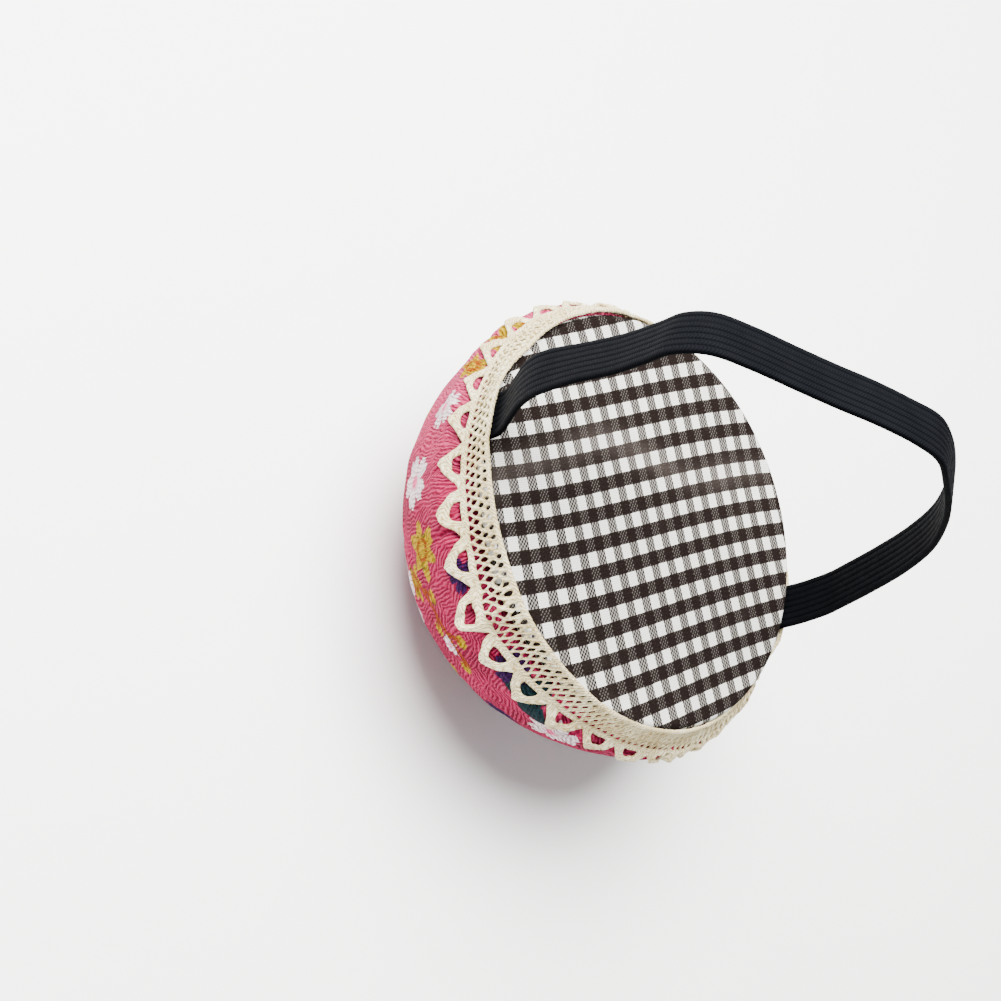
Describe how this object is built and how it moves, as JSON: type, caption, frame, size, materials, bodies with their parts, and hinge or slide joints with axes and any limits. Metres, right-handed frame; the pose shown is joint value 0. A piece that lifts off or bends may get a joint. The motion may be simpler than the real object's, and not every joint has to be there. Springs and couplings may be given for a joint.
{
  "type": "wrist pin cushion",
  "caption": "Stuffed crepe dome on a round cloth-covered base, edged with cotton lace, with a flat elastic loop that holds it on the wrist while sewing.",
  "frame": {"origin": "centre of the small patch at the top of the dome, on which the cushion stands, with the face that lies on the wrist looking up", "axes": "+Z is the outward normal of the face that lies on the wrist; X runs through the two roots of the elastic; Y is across the elastic, the way the arm goes through the loop"},
  "size_m": [0.0778, 0.0756, 0.0934],
  "materials": {
    "crepe": "matte printed crepe",
    "filling": "fibre wadding",
    "thread": "twisted cotton thread",
    "glue": "translucent hot-melt glue",
    "card": "grey-brown card",
    "check_cloth": "brown and white checked cotton",
    "lace": "cream cotton lace",
    "elastic": "ribbed black woven elastic",
    "strand_rubber": "rubber thread"
  },
  "bodies": {
    "cushion": {"cushion_cover": "crepe", "cushion_filling": "filling", "cover_gather_thread": "thread", "glue_layer": "glue", "base_board": "card", "base_cover": "check_cloth", "base_gather_thread": "thread", "lace_trim": "lace", "lace_glue_dab": "glue", "strap_end_left": "elastic", "strap_end_right": "elastic", "end_strands": "strand_rubber"},
    "strap": {"strap_leg_left": "elastic", "strap_leg_right": "elastic", "leg_strands": "strand_rubber"},
    "strap_crown": {"strap_loop": "elastic", "loop_strands": "strand_rubber"}
  },
  "joints": [
    {"name": "strap_swing", "type": "hinge", "parent": "cushion", "child": "strap", "pos_m": [0, 0, 0.042], "axis": [1, 0, 0], "range_deg": [-75, 75], "stiffness_Nm_per_rad": 0.003},
    {"name": "strap_stretch", "type": "slide", "parent": "strap", "child": "strap_crown", "axis": [0, 0, 1], "range_m": [0, 0.025], "stiffness_N_per_m": 100}
  ]
}
